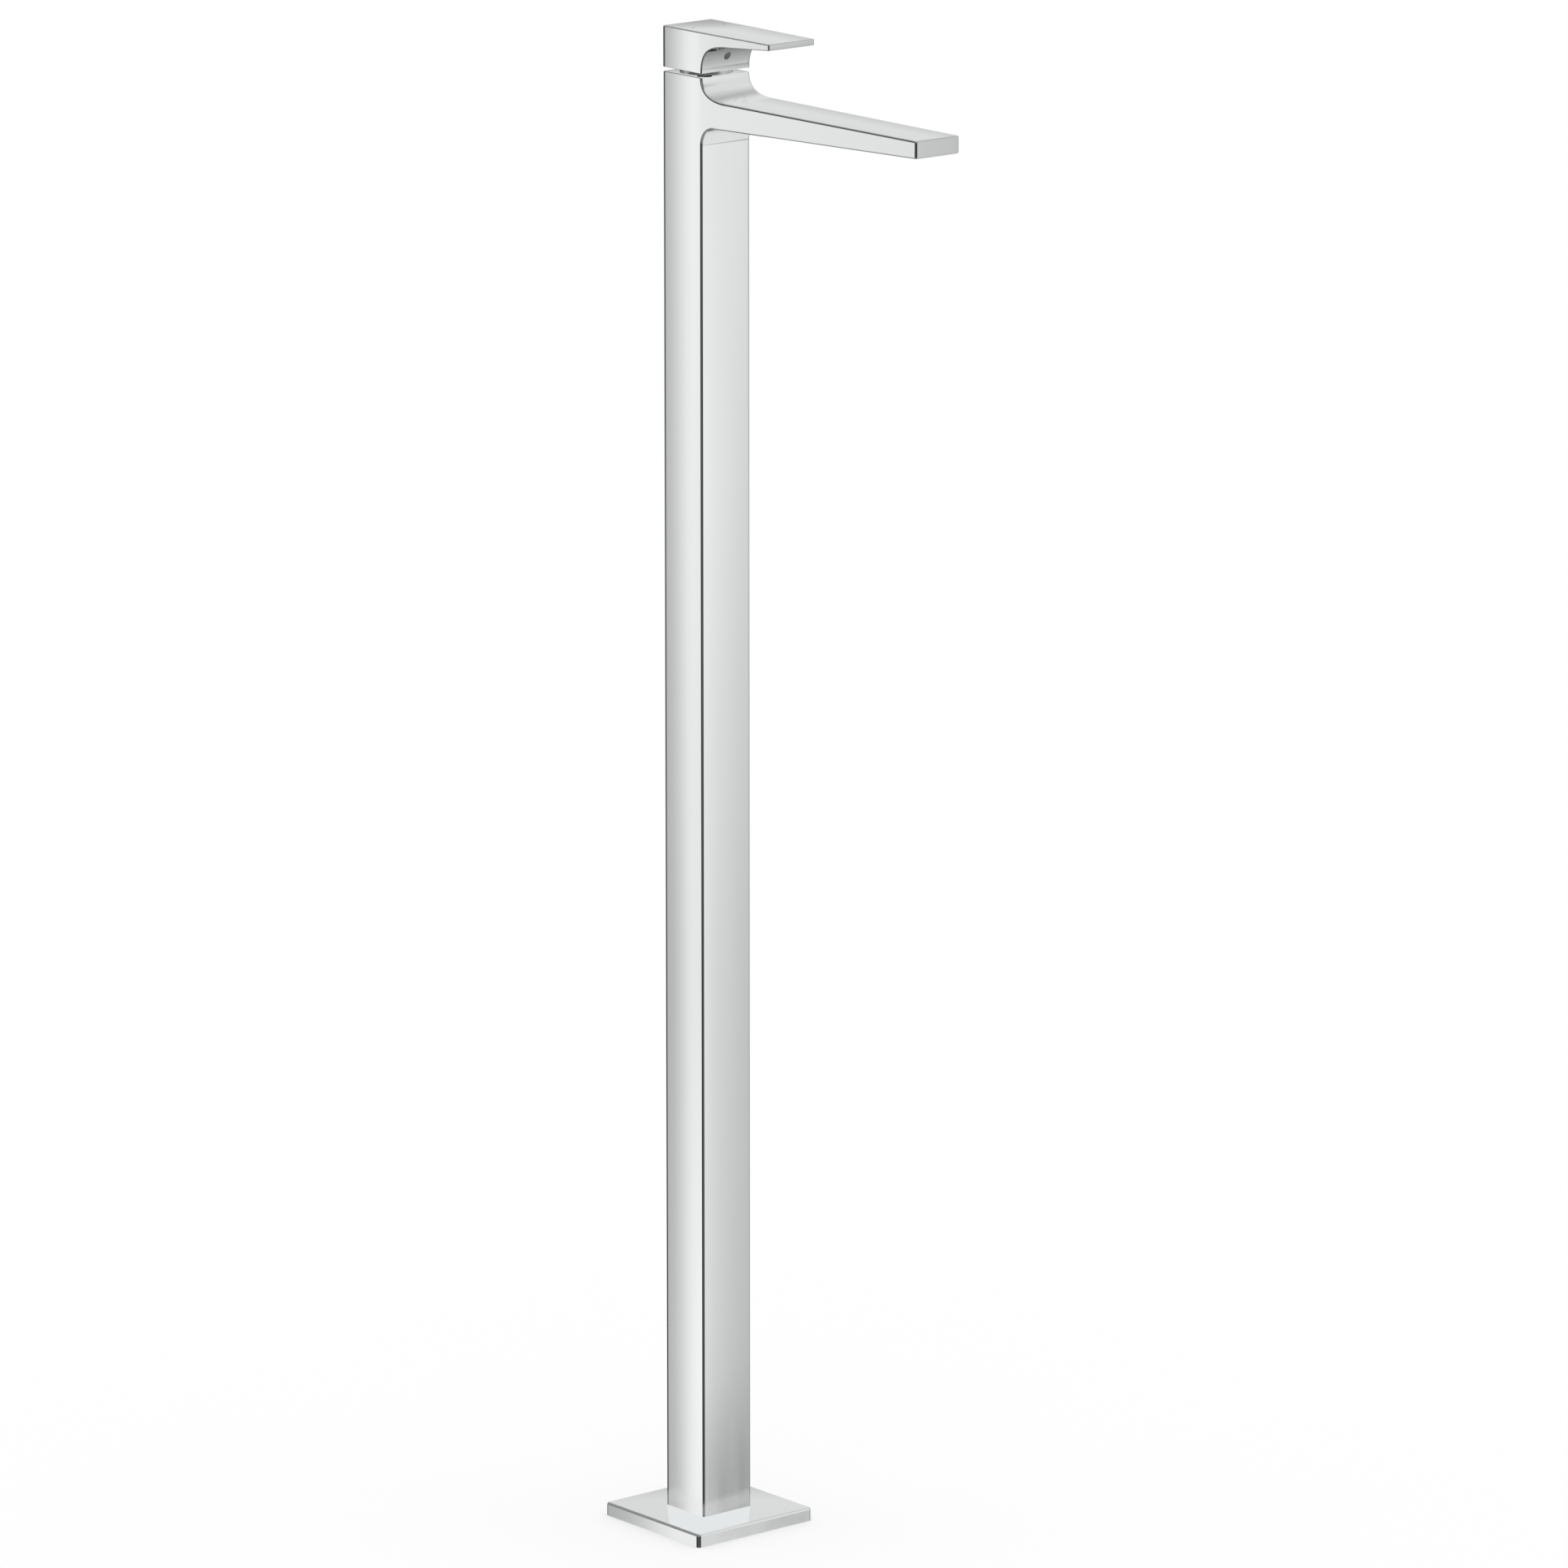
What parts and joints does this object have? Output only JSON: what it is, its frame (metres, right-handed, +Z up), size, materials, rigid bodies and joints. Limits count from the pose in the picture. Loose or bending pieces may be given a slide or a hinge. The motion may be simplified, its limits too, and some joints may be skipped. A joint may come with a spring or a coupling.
{
  "type": "floor-standing basin mixer",
  "caption": "Tall floor-standing basin mixer: a chromed rectangular column on a square foot, with a flat spout over the basin and a flat lever that lifts for flow and swings for warmth.",
  "frame": {"origin": "on the floor, at the column's axis, which is also the centre of the foot and of its four floor bolts", "axes": "+Z up along the column; the spout and the closed lever point to -Y; X is across, hot side at -X"},
  "size_m": [0.11, 0.314, 1.1335],
  "materials": {
    "chrome_plate": "polished",
    "plate_steel": "satin",
    "screw_steel": "satin",
    "raw_brass": "satin",
    "pipe_copper": "satin",
    "seal_rubber": "matte",
    "white_plastic": "satin",
    "grey_plastic": "satin",
    "disc_ceramic": "polished",
    "red_enamel": "gloss",
    "blue_enamel": "gloss"
  },
  "bodies": {
    "stand": {"foot_plate": "plate_steel", "plate_screws": "screw_steel", "inlet_block": "raw_brass", "cover_flange": "chrome_plate", "column_gasket": "seal_rubber", "column_tube": "chrome_plate", "hot_riser": "pipe_copper", "cold_riser": "pipe_copper", "riser_seals": "seal_rubber", "tie_rods": "screw_steel", "tie_rod_nuts": "screw_steel", "pipe_spacers": "white_plastic", "spout_body": "chrome_plate", "aerator_housing": "chrome_plate", "aerator_insert": "grey_plastic", "aerator_seal": "seal_rubber", "cartridge_base": "white_plastic", "base_seals": "seal_rubber", "disc_gasket": "seal_rubber", "fixed_disc": "disc_ceramic", "cartridge_housing": "white_plastic", "cartridge_nut": "raw_brass", "collar": "chrome_plate"},
    "turret": {"stem_turret": "grey_plastic", "pivot_pin": "screw_steel"},
    "lever": {"lever_handle": "chrome_plate", "lever_stem": "screw_steel", "grub_screw": "screw_steel", "screw_plug": "grey_plastic", "hot_mark": "red_enamel", "cold_mark": "blue_enamel"},
    "discs": {"moving_disc": "disc_ceramic", "disc_driver": "white_plastic"}
  },
  "joints": [
    {"name": "temp_swing", "type": "hinge", "parent": "stand", "child": "turret", "pos_m": [0, 0, 1.09], "axis": [0, 0, 1], "range_deg": [-50, 50]},
    {"name": "lever_lift", "type": "hinge", "parent": "turret", "child": "lever", "pos_m": [0, 0.007, 1.092], "axis": [-1, 0, 0], "range_deg": [0, 9.5]},
    {"name": "disc_slide", "type": "slide", "parent": "turret", "child": "discs", "axis": [0, -1, 0], "range_m": [0, 0.0024]}
  ],
  "couplings": [
    {"joint": "disc_slide", "follows": "lever_lift", "m_per_rad": 0.01425}
  ]
}
